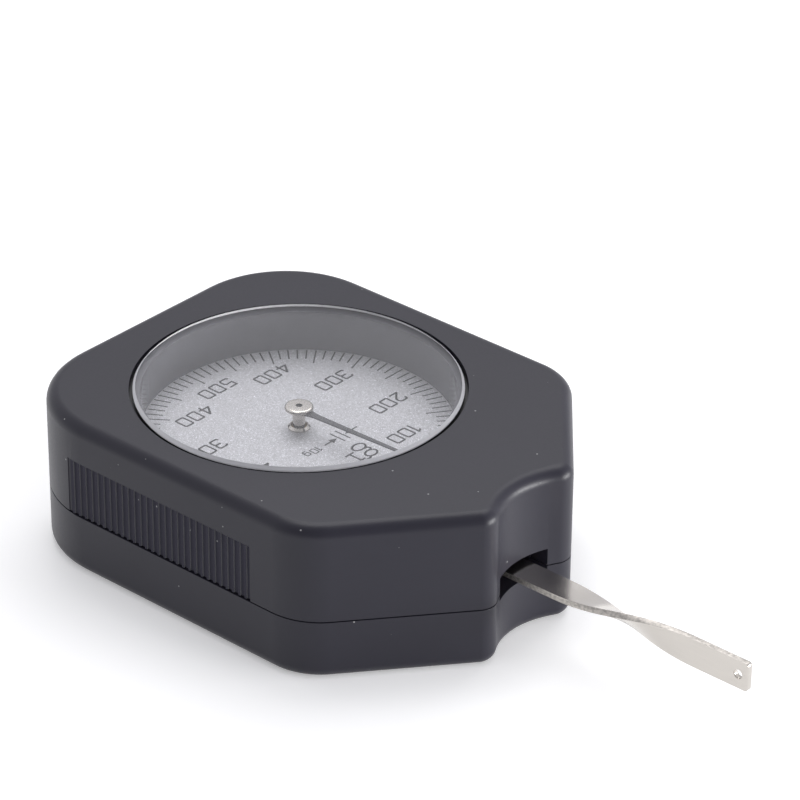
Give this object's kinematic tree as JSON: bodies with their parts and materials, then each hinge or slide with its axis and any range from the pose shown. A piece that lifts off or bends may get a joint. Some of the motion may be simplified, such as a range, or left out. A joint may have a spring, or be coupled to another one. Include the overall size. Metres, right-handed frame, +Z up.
{
  "type": "dial tension gauge",
  "caption": "Hand-held force gauge: black case with grooved grips, round dial under a clear crystal, and a twisted measuring arm that turns the pointer through a sector gear.",
  "frame": {"origin": "on the rear face, under the pointer axis", "axes": "+X along the measuring arm towards its tip, +Z up through the dial, +Y across the case"},
  "size_m": [0.1146, 0.06, 0.0254],
  "materials": {
    "case_plastic": "black ABS with a fine satin grain",
    "steel": "plain steel",
    "clear_plastic": "polished clear acrylic",
    "ring_plastic": "glossy black",
    "dial_silver": "fine silver paint with printed scale",
    "brass": "turned brass",
    "needle_black": "matt black",
    "nickel": "bright nickel plate on steel",
    "spring_steel": "blued spring steel",
    "plate_aluminium": "plain sheet"
  },
  "bodies": {
    "case": {"front_shell": "case_plastic", "rear_cover": "case_plastic", "case_screws": "steel", "crystal": "clear_plastic", "dial_ring": "ring_plastic", "dial_plate": "dial_silver", "dial_bush": "nickel", "hairspring_stud": "brass", "top_plate": "plate_aluminium", "base_plate": "plate_aluminium", "plate_pillars": "brass", "pillar_screws_upper": "steel", "pillar_screws_lower": "steel", "movement_screws": "steel", "arbor_bush_upper": "brass", "arbor_bush_lower": "brass", "arm_bush_upper": "brass", "arm_bush_lower": "brass", "spring_pins": "steel", "stop_pins": "steel"},
    "arm": {"arm_shaft": "steel", "arm_hub": "brass", "sector_gear": "brass", "measuring_arm": "nickel", "arm_rivets": "steel", "measuring_spring": "spring_steel"},
    "pointer": {"pointer_needle": "needle_black", "pointer_hub": "nickel", "pointer_arbor": "steel", "pinion": "brass", "hairspring_collet": "brass", "hairspring": "spring_steel"}
  },
  "joints": [
    {"name": "arm_swing", "type": "hinge", "parent": "case", "child": "arm", "pos_m": [0.032, 0, 0.01105], "axis": [0, 0, 1], "range_deg": [-12, 12], "stiffness_Nm_per_rad": 1.15, "deforming": ["measuring_spring"]},
    {"name": "pointer_spin", "type": "hinge", "parent": "case", "child": "pointer", "pos_m": [0, 0, 0.0165], "axis": [0, 0, 1], "range_deg": [-180, 180], "deforming": ["hairspring"]}
  ],
  "couplings": [
    {"joint": "pointer_spin", "follows": "arm_swing", "ratio": -15}
  ]
}
